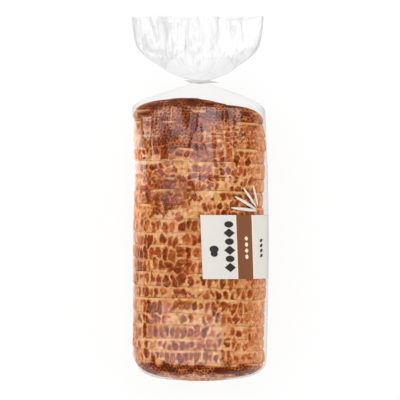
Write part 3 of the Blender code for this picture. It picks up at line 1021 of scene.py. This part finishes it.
def crust_material(loaf):
    """Brown crackle over a golden crust, with smooth sides, darker heels, a painted highlight of pale
    crust along the cut rims and painted shade in the gaps between slices.
    """
    finish = Finish("tiger_crust")
    mix, times, plus, minus = finish.mix, finish.times, finish.plus, finish.minus
    grain, flecks = finish.grain, finish.flecks
    dark, bare, side = finish.attribute("crackle")[:3]
    heel, pale, base = finish.attribute("zone")[:3]
    line, cut_face = finish.attribute("cut")[:2]
    coarse = grain(170.0, 4.0)
    fine = grain(900.0)

    # The crackle's shade, and the golden crust that shows in its cracks
    uneven = plus(times(minus(coarse, 0.5), 0.45), times(minus(grain(620.0), 0.5), 0.50))
    shade = plus(dark, times(uneven, minus(1.0, times(heel, 0.7))))
    shade = plus(shade, times(heel, 0.05))
    # painted highlight: the crackle is paler along the slices' rims
    shade = times(shade, minus(1.0, times(pale, 0.75)))
    straw = rgba(loaf.crack_pale)
    crack = mix(times(flecks(0.35, 0.62, 95.0), 0.8), rgba(loaf.crack_gold), straw)
    crack = mix(times(bare, 0.45), crack, straw)
    salmon = flecks(0.48, 0.66, 150.0, 3.0, (1.0, 0.6, 1.0))
    crack = mix(times(salmon, 0.75), crack, rgba(loaf.crack_pink, 0.92))
    blotch = flecks(0.44, 0.72, 330.0, 4.0, (1.0, 0.8, 1.0))
    crack = mix(times(blotch, 0.68), crack, rgba(loaf.plate_light, 1.10))
    crack = mix(times(heel, 0.60), crack, rgba(loaf.plate_light, 1.15))
    # painted highlights: fine flecks of brighter salmon, fewer on the heels
    painted_highlight_flecks = flecks(0.54, 0.68, 460.0, 3.0, (1.0, 0.7, 1.0))
    painted_highlight_flecks = times(painted_highlight_flecks, minus(0.70, times(heel, 0.45)))
    crack = mix(painted_highlight_flecks, crack, rgba(loaf.crack_pink, 1.09))

    # The crackle itself, over the cracks
    stops = ((0.34, loaf.plate_light), (0.58, loaf.plate_mid), (0.92, loaf.plate_dark))
    crackle = finish.ramp(shade, *((place, rgba(tint)) for place, tint in stops))
    crackle = mix(flecks(0.42, 0.58, 75.0, 2.0), crackle, (1.04, 0.78, 1.10, 1.0), "MULTIPLY")
    sockets = {"Value": shade, "From Min": -0.04, "From Max": 0.42}
    reach = finish.add("ShaderNodeMapRange", sockets, interpolation_type="SMOOTHSTEP")
    colour = mix(reach.outputs[0], crack, crackle)

    # The sides, the base, the painted highlight along the slices' rims, the painted shade of the gaps
    # between them, and the cut crumb
    streaks = flecks(0.37, 0.62, 420.0, 3.0, (1.0, 0.3, 0.35))
    colour = mix(side, colour, mix(streaks, rgba(loaf.side_streak), rgba(loaf.side_crust)))
    colour = mix(base, colour, mix(coarse, rgba(loaf.base_crust, 0.8), rgba(loaf.base_crust, 1.25)))
    # painted highlight of pale crust along each slice's neck-side rim
    colour = mix(times(pale, 0.60), colour, rgba(loaf.crack_pale, 1.12))
    # painted shade: a dark line along the gap between slices
    colour = mix(times(line, 0.55), colour, rgba(loaf.plate_dark, 0.9))
    colour = mix(cut_face, colour, rgba(loaf.crumb))
    speck = finish.ramp(fine, (0.25, (0.78, 0.73, 0.68, 1.0)), (0.62, WHITE))
    height = plus(times(fine, 0.6), times(grain(2600.0, 2.0), 0.4))
    sockets = {
        "Base Color": mix(0.7, colour, speck, "MULTIPLY"),
        "Roughness": minus(0.80, times(dark, 0.22)),
        "Specular IOR Level": 0.05,
        "Normal": finish.bump(height, 0.25 * MM, 0.8),
    }
    finish.put(finish.shader, sockets)
    return finish.material


def film_material(film):
    """Thin clear film: see-through face on, more of a mirror the more it is seen edge on."""
    finish = Finish("clear_film")
    times, plus = finish.times, finish.plus
    tail, grey = finish.attribute("tail")[:2]

    def along_bag(round_loaf, on_tail):
        return plus(round_loaf, times(tail, on_tail - round_loaf))

    facing = finish.add("ShaderNodeLayerWeight", {"Blend": 0.5}).outputs["Facing"]
    edge_on = finish.number("POWER", facing, 4.2)
    mirror = finish.minus(0.24, times(tail, 0.19))
    share = plus(along_bag(film.gloss, film.tail_gloss), times(edge_on, mirror))
    # grey is the tail's painted shade, partly for the doubled film at its creases and edges: it dims what
    # shows through
    tint = finish.mix(grey, (0.995, 0.995, 0.995, 1.0), (0.90, 0.90, 0.90, 1.0))
    clear = finish.add("ShaderNodeBsdfTransparent", {"Color": tint})
    sockets = {
        "Color": (0.92, 0.95, 1.0, 1.0),
        "Roughness": along_bag(film.roughness, film.tail_roughness),
        "Normal": finish.bump(finish.grain(230.0, 2.0, (1.0, 0.35, 1.0)), 0.06 * MM, 0.6),
    }
    glossy = finish.add("ShaderNodeBsdfGlossy", sockets)
    blend = finish.add("ShaderNodeMixShader", {0: share, 1: clear.outputs[0], 2: glossy.outputs[0]})
    finish.put(finish.tree.nodes["Material Output"], {"Surface": blend.outputs[0]})
    finish.tree.nodes.remove(finish.shader)
    return finish.material


class TIGERLOAF_OT_slices(bpy.types.Operator):
    """Make the loaf's slices, crackled crust and all"""

    bl_idname = "tigerloaf.slices"
    bl_label = "Bread slices"

    def execute(self, context):
        loaf = context.scene.tiger_loaf
        planes = cut_planes(loaf)
        crust = crust_material(loaf)
        for index in range(len(planes) + 1):
            rows, marks = bread_slice(index, planes, loaf)
            piece, row, column = tube(f"bread_slice_{index + 1:02d}", rows)
            own = np.asarray(marks)[row, column]
            paint(piece, "crackle", own[:, 0:3])
            # zone holds the heel, the painted highlight along the rims and the base; cut holds the painted
            # shade of the gaps between slices and the crumb face
            paint(piece, "zone", own[:, 3:6])
            paint(piece, "cut", own[:, 6:8])
            close_poles(piece)
            piece.data.materials.append(crust)
            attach(piece, "root")
            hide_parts("bread_bag")
        return {"FINISHED"}


def film_columns():
    """Distances round the bag for the film's mesh, finer over the crown."""
    crown = CROWN_SHARE * GIRTH
    top = np.linspace(0.0, crown, CROWN_COLUMNS)[:-1]
    rest = np.linspace(crown, GIRTH - crown, REST_COLUMNS)[:-1]
    return np.concatenate([top, rest, GIRTH - np.linspace(crown, 0.0, CROWN_COLUMNS)[:-1]])


def gathered_rows():
    """The film bunched inside the tie: a plug of folds that run in from the ring."""
    turn = np.linspace(0.0, 2.0 * np.pi, BUNCH_COLUMNS + 1)[:-1]
    folds = np.abs(np.sin(9 * turn + 0.8 * np.sin(2 * turn))) - 0.5
    rows = []
    for way in (-1.0, 1.0):
        scales = (0.0, 0.25, 0.5, 0.75, 0.93)
        for scale in scales if way < 0.0 else scales[::-1]:
            bulge = BUNCH_BULGE * (1.0 - 0.55 * scale) + 0.8 * folds * math.sin(math.pi * scale)
            x = (NECK_HALF_WIDTH - BUNCH_INSET) * scale * np.sin(turn)
            z = NECK_Z + (NECK_HALF_HEIGHT - BUNCH_INSET) * scale * np.cos(turn)
            rows.append(np.stack([x, NECK_Y + way * bulge, z], axis=-1))
    return rows


def gathered_material():
    """Many layers of clear film, which look white together."""
    tints = ((0.70, 0.71, 0.72, 1.0), (0.90, 0.91, 0.92, 1.0))
    finish = mottled("gathered_film", tints, (500.0, 3.0), (0.24, 0.44), 900.0)
    ripple = finish.bump(finish.grain(700.0, 2.0, (1.0, 0.3, 1.0)), 0.2 * MM, 0.6)
    finish.put(finish.shader, {"Normal": ripple})
    return finish.material


def bag_rows(s, planes, film):
    """The whole bag, from its sealed end to the open edge of its tail."""
    rows = []
    for scale in np.sin(np.linspace(0.0, 0.5 * np.pi, END_RINGS))[:-1]:
        rise = 1.0 - (1.0 - scale**END_POWER) ** (1.0 / END_POWER)
        y = np.full(s.shape, SEALED_END_Y + END_ROUNDING * rise)
        rows.append(np.stack(film_body(s, y, scale, planes, film), axis=-1))
    rows[0][:] = rows[0].mean(axis=0)
    for y in np.arange(SEALED_END_Y + END_ROUNDING, SHOULDER_Y, BODY_RING_PITCH):
        rows.append(np.stack(film_body(s, np.full(s.shape, y), 1.0, planes, film), axis=-1))
    return rows + cone_rows(s, planes, film) + tail_rows(s, film)


class TIGERLOAF_OT_film(bpy.types.Operator):
    """Make the clear film bag, from its sealed end to the open edge of its tail"""

    bl_idname = "tigerloaf.film"
    bl_label = "Film bag"

    def execute(self, context):
        film = context.scene.tiger_film
        rows = bag_rows(film_columns(), cut_planes(context.scene.tiger_loaf), film)
        piece, row, column = tube("film_bag", rows)
        x, y, _ = np.asarray(rows)[row, column].T
        ring_y = np.asarray(rows)[:, :, 1].mean(axis=1)[row]
        # grey: painted shade along the tail's creases, gusset and edges
        grey = tail_shade(x, y) * (ring_y > NECK_Y)
        paint(piece, "tail", np.stack([smooth(SHOULDER_Y + 1, SHOULDER_Y + 8, ring_y), grey], axis=-1))
        close_poles(piece)
        piece.data.materials.append(film_material(film))
        bunch, _, _ = tube("neck_gather", gathered_rows())
        close_poles(bunch)
        bunch.data.materials.append(gathered_material())
        for part in (piece, bunch):
            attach(part, "root")
            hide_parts("bread_bag")
        return {"FINISHED"}


def film_places(x_list, y):
    """Distances round the bag of places across it seen from above."""
    return [arc_at_x(x, right_half_width(y) if x > 0.0 else HALF_LEFT) for x in x_list]


def panel_slant(y):
    """The print runs a little to the right towards the sealed end."""
    return 2.5 * (PANEL_HIGH_Y - y) / (PANEL_HIGH_Y - PANEL_LOW_Y)


def lay_on_film(piece, s, y, lift, thickness, planes, film):
    """Lays a flat piece over the film, lifted a little off it, and thickens it."""
    set_points(piece, np.stack(film_body(s, y, 1.0, planes, film, lift), axis=-1))
    thicken = piece.modifiers.new("Thickness", "SOLIDIFY")
    thicken.thickness = thickness * MM
    thicken.offset = 1.0
    only_active(piece)
    bpy.ops.object.modifier_apply(modifier=thicken.name)


def film_patch(name, low_s, high_s, low_y, high_y, lift, planes, film):
    """A thin patch of print that hugs the film."""
    columns = max(4, round((high_s - low_s) / PATCH_STEP_ACROSS))
    lines = max(4, round((high_y - low_y) / PATCH_STEP_ALONG))
    bpy.ops.object.select_all(action="DESELECT")
    bpy.ops.mesh.primitive_grid_add(x_subdivisions=columns, y_subdivisions=lines, size=1.0)
    piece = named(name)
    flat = points_of(piece) + 0.5
    y = between(low_y, high_y, flat[:, 1])
    s = between(low_s, high_s, flat[:, 0])
    s = s + panel_slant(y) * smooth(1.0, 0.6, (s - low_s) / 70)
    lay_on_film(piece, s, y, lift, PATCH_THICKNESS, planes, film)
    piece.data.shade_smooth()
    bpy.ops.object.shade_smooth_by_angle(angle=math.radians(50))
    return piece


def ornament_column(x, first_y, pitch, count, *shapes):
    """Ornaments one below the other, which take the given shapes in turn."""
    column = []
    for n in range(count):
        sides, half_x, half_y, turn = shapes[n % len(shapes)]
        column.append((sides, x, first_y - pitch * n, half_x, half_y, turn))
    return column


# The print: where the ground's edge and the band's two sides lie across, its inset from the
# panel's ends, and its mesh and thickness
PRINT_EDGES_X = (0.2, 35.6, 50.8)
PANEL_MARGIN = 0.3
PATCH_STEP_ACROSS = 0.9
PATCH_STEP_ALONG = 1.1
PATCH_THICKNESS = 0.12
INK_THICKNESS = 0.08

# Plain ornaments of the print, in a column on the panel, on its band, and as blades that fan out
# above it: sides of the outline, the middle across and along, half sizes, turn in degrees
OVAL = 24
DIAMOND = 4
INK_SHAPES = ornament_column(28, -26, 8.5, 6, (OVAL, 4.4, 3.2, 0), (DIAMOND, 5.6, 4.6, 0))
INK_SHAPES += [(OVAL, 12.5, -50.5, 4.4, 3.6, 0), (OVAL, 12.5, -55.0, 3.4, 3.0, 0)]
INK_SHAPES += ornament_column(60, -42, 5, 4, (OVAL, 2.6, 1.5, 25))
CREAM_SHAPES = ornament_column(44.8, -40, 6, 4, (DIAMOND, 2.2, 2.4, 0), (OVAL, 1.7, 2.2, 0))
BLADE_SHAPES = (
    (OVAL, 44.5, -11.2, 14.5, 1.5, -6),
    (OVAL, 46.0, -5.0, 14.0, 1.4, -28),
    (OVAL, 50.0, 0.5, 12.5, 1.3, -50),
    (OVAL, 55.5, 2.5, 11.0, 1.2, -72),
)


def ornament(name, shapes, lift, slanted, planes, film):
    """Flat printed shapes, in one piece that hugs the film."""
    bpy.ops.object.select_all(action="DESELECT")
    piece = None
    for sides, x, y, half_x, half_y, turn in shapes:
        bpy.ops.mesh.primitive_circle_add(vertices=sides, radius=1.0, fill_type="TRIFAN")
        if piece is None:
            piece = named(name)
            bpy.ops.object.mode_set(mode="EDIT")
            bpy.ops.mesh.select_all(action="SELECT")
        bpy.ops.transform.resize(value=(half_x, half_y, 1.0), center_override=(0, 0, 0))
        bpy.ops.transform.rotate(value=-math.radians(turn), orient_axis="Z", center_override=(0, 0, 0))
        bpy.ops.transform.translate(value=(arc_at_x(x, HALF_RIGHT + RIGHT_SLACK), y, 0.0))
        bpy.ops.mesh.select_all(action="DESELECT")
    bpy.ops.mesh.select_all(action="SELECT")
    bpy.ops.mesh.subdivide(number_cuts=2)
    bpy.ops.object.mode_set(mode="OBJECT")
    s, y, _ = points_of(piece).T
    if slanted:
        s = s + panel_slant(y)
    lay_on_film(piece, s, y, lift, INK_THICKNESS, planes, film)
    return piece


def print_material(name, ink):
    """Ink on glossy film, a touch uneven in density."""
    finish = mottled(name, (rgba(ink, 0.97), rgba(ink, 1.02)), (60.0, 3.0), (0.32, 0.42), 1500.0)
    ripple = finish.bump(finish.grain(260.0, 2.0, (1.0, 0.3, 1.0)), 0.05 * MM, 0.5)
    finish.put(finish.shader, {"Specular IOR Level": 0.35, "Normal": ripple})
    return finish.material


class TIGERLOAF_OT_print(bpy.types.Operator):
    """Make the printed panel that wraps over the right side, with its band"""

    bl_idname = "tigerloaf.print"
    bl_label = "Printed panel"

    def execute(self, context):
        film = context.scene.tiger_film
        ink = context.scene.tiger_print
        planes = cut_planes(context.scene.tiger_loaf)
        low_y, high_y = PANEL_LOW_Y + PANEL_MARGIN, PANEL_HIGH_Y - PANEL_MARGIN
        edge, band_low, band_high = film_places(PRINT_EDGES_X, 0.5 * (low_y + high_y))
        foot = arc_at_height(PANEL_FOOT_Z / FILM_HEIGHT)
        pieces = []
        for name, low_s, high_s, lift, tint in (
            ("print_ground", edge, foot, 0.10, ink.ground),
            ("print_cream", band_low - 1.3, band_high + 2.0, 0.24, ink.cream),
            ("print_band", band_low, band_high, 0.38, ink.band),
        ):
            pieces.append((film_patch(name, low_s, high_s, low_y, high_y, lift, planes, film), tint))
        for name, shapes, lift, slanted, tint in (
            ("print_ink", INK_SHAPES, 0.30, True, ink.ink),
            ("print_band_marks", CREAM_SHAPES, 0.58, True, ink.cream),
            ("print_blades", BLADE_SHAPES, 0.15, False, ink.ground),
        ):
            pieces.append((ornament(name, shapes, lift, slanted, planes, film), tint))
        for piece, tint in pieces:
            piece.data.materials.append(print_material(piece.name, tint))
            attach(piece, "root")
            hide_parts("printed_panel")
        return {"FINISHED"}


def tie_material():
    """Clear grey plastic."""
    tints = ((0.50, 0.51, 0.53, 1.0), (0.66, 0.67, 0.68, 1.0))
    return mottled("tie_plastic", tints, (300.0, 2.0), (0.22, 0.37), 900.0).material


class TIGERLOAF_OT_tie(bpy.types.Operator):
    """Give the tie that closes the neck its clear grey plastic"""

    bl_idname = "tigerloaf.tie"
    bl_label = "Tie"

    def execute(self, context):
        node = bpy.data.objects["bag_tie"]
        node.data.materials.clear()
        node.data.materials.append(tie_material())
        return {"FINISHED"}


# Level lamps, in metres: low and high x, low and high y, radiance. The film mirrors the panels
# above the loaf as broad veils, and the cards on the floor along its edges
PANEL_HEIGHT = 1.62
PANELS = {
    "panel_neck_left": (-1.35, -0.42, 0.40, 1.50, 1.95),
    "panel_neck_left_far": (-2.24, -1.35, 0.40, 0.90, 1.95),
    "panel_neck_left_low": (-1.10, -0.19, 0.30, 0.44, 1.95),
    "panel_neck_middle": (0.00, 0.33, 0.30, 2.30, 3.1),
    "panel_neck_middle_low": (-0.13, 0.22, 0.16, 0.30, 2.9),
    "panel_neck_right": (0.67, 1.50, 0.264, 2.30, 2.05),
    "panel_left_strip": (-2.6, -0.30, 0.08, 0.20, 1.15),
    "panel_left_strip_short": (-1.9, -0.38, 0.05, 0.17, 0.95),
    "panel_sealed_end": (-2.3, 0.50, -1.14, -0.30, 2.0),
}
CARD_HEIGHT = 0.003
CARDS = {
    "card_left": (-0.60, -0.085, -0.130, 0.100, 0.50),
    "card_left_neck": (-0.60, -0.080, 0.022, 0.082, 3.2),
    "card_right": (0.105, 0.60, -0.185, 0.100, 0.45),
    "card_left_end": (-0.60, -0.085, -0.225, -0.130, 0.8),
    "card_corner_left": (-0.60, -0.075, -0.60, -0.225, 0.9),
    "card_corner_right": (0.075, 0.60, -0.60, -0.195, 0.9),
    "card_end": (-0.070, 0.070, -0.60, -0.200, 0.60),
    "card_tail": (-0.140, 0.140, 0.125, 0.240, 0.70),
}

# The floor's grey and its own glow, the world's light, and the camera: where it looks from and
# the height that it is set to, in metres
FLOOR_SHADE = 0.12
FLOOR_GLOW = 0.895
WORLD_LIGHT = 0.44
SENSOR_WIDTH = 36.0
CAMERA_Y = -0.002
SIGHT_HEIGHT = 0.05


def lamp(name, place, target, width, height, radiance, mirrored=True):
    """A soft rectangular lamp, turned to its target."""
    data = bpy.data.lights.new(name, "AREA")
    data.shape = "RECTANGLE"
    data.size, data.size_y = width, height
    data.energy = radiance * math.pi * width * height
    piece = bpy.data.objects.new(name, data)
    bpy.context.scene.collection.objects.link(piece)
    piece.location = place
    piece.rotation_euler = (Vector(target) - Vector(place)).to_track_quat("-Z", "Y").to_euler()
    piece.visible_camera = False
    piece.visible_glossy = mirrored


def level_lamps(rows, height, facing):
    """Level lamps at one height, which face up or down to another."""
    for name, (low_x, high_x, low_y, high_y, radiance) in rows.items():
        x, y = 0.5 * (low_x + high_x), 0.5 * (low_y + high_y)
        lamp(name, (x, y, height), (x, y, facing), high_x - low_x, high_y - low_y, radiance)


def floor_material(floor):
    """Plain pale floor that stays evenly bright."""
    finish = Finish("pale_floor")
    sockets = {
        "Base Color": rgba(floor, FLOOR_SHADE),
        "Roughness": 1.0,
        "Specular IOR Level": 0.0,
        "Emission Color": WHITE,
        "Emission Strength": FLOOR_GLOW,
    }
    finish.put(finish.shader, sockets)
    return finish.material


class TIGERLOAF_OT_stage(bpy.types.Operator):
    """Set the floor, the lights and the camera"""

    bl_idname = "tigerloaf.stage"
    bl_label = "Stage"

    def execute(self, context):
        stage = context.scene.tiger_stage
        bpy.ops.object.select_all(action="DESELECT")
        bpy.ops.mesh.primitive_grid_add(size=14.0, location=(0, 0, -0.2 * MM))
        floor = context.object
        floor.name = "floor"
        floor.data.materials.append(floor_material(stage.floor))
        floor.visible_glossy = False
        floor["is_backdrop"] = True

        lamp("soft_top", (0.0, 0.0, 2.4), (0, 0, 0), 2.4, 2.4, 0.06, mirrored=False)
        lamp("soft_right", (2.0, -0.1, 0.8), (0, -0.05, 0.05), 1.3, 1.0, 3.0, mirrored=False)
        level_lamps(PANELS, PANEL_HEIGHT, 0.0)
        level_lamps(CARDS, CARD_HEIGHT, 1.0)
        lamp("panel_left", (-1.7, 0.245, 0.46), (0, -0.12, 0.05), 0.15, 0.72, 4.0)
        lamp("soft_left", (-1.7, 0.56, 0.46), (0, 0.20, 0.05), 0.48, 0.72, 4.0, mirrored=False)
        lamp("panel_left_end", (-2.3, -0.48, 0.92), (0.0, -0.48, 0.92), 0.40, 1.20, 1.45)

        world = bpy.data.worlds.new("studio")
        world.use_nodes = True
        world.node_tree.nodes["Background"].inputs["Color"].default_value = WHITE
        world.node_tree.nodes["Background"].inputs["Strength"].default_value = WORLD_LIGHT
        world.cycles_visibility.glossy = False
        context.scene.world = world

        data = bpy.data.cameras.new("camera")
        data.sensor_width = SENSOR_WIDTH
        data.lens = SENSOR_WIDTH * stage.camera_height / stage.view_width
        data.clip_end = 100.0
        camera = bpy.data.objects.new("camera", data)
        context.scene.collection.objects.link(camera)
        camera.location = (0.0, CAMERA_Y, SIGHT_HEIGHT + stage.camera_height)
        context.scene.camera = camera
        context.scene.view_settings.view_transform = "Standard"
        return {"FINISHED"}


class TIGERLOAF_PT_pieces(bpy.types.Panel):
    """Lists the pieces of the loaf and its bag"""

    bl_idname = "TIGERLOAF_PT_pieces"
    bl_label = "Tiger loaf"
    bl_space_type = "VIEW_3D"
    bl_region_type = "UI"
    bl_category = "Tiger loaf"

    def draw(self, context):
        for operator in OPERATORS:
            self.layout.operator(operator.bl_idname)


GROUPS = {
    "tiger_loaf": LoafSettings,
    "tiger_film": FilmSettings,
    "tiger_print": PrintSettings,
    "tiger_stage": StageSettings,
}
OPERATORS = (
    TIGERLOAF_OT_slices,
    TIGERLOAF_OT_film,
    TIGERLOAF_OT_print,
    TIGERLOAF_OT_tie,
    TIGERLOAF_OT_stage,
)


def register():
    for name, group in GROUPS.items():
        bpy.utils.register_class(group)
        setattr(bpy.types.Scene, name, PointerProperty(type=group))
    for operator in OPERATORS:
        bpy.utils.register_class(operator)
    bpy.utils.register_class(TIGERLOAF_PT_pieces)


def unregister():
    bpy.utils.unregister_class(TIGERLOAF_PT_pieces)
    for operator in reversed(OPERATORS):
        bpy.utils.unregister_class(operator)
    for name, group in reversed(GROUPS.items()):
        delattr(bpy.types.Scene, name)
        bpy.utils.unregister_class(group)


def main():
    register()
    bpy.ops.tigerloaf.slices()
    bpy.ops.tigerloaf.film()
    bpy.ops.tigerloaf.print()
    bpy.ops.tigerloaf.tie()
    bpy.ops.tigerloaf.stage()
    boxes = {"cad": cad_box, "visual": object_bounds()}
    {name: [list(corner) for corner in box] for name, box in boxes.items()}


if __name__ == "__main__":
    main()
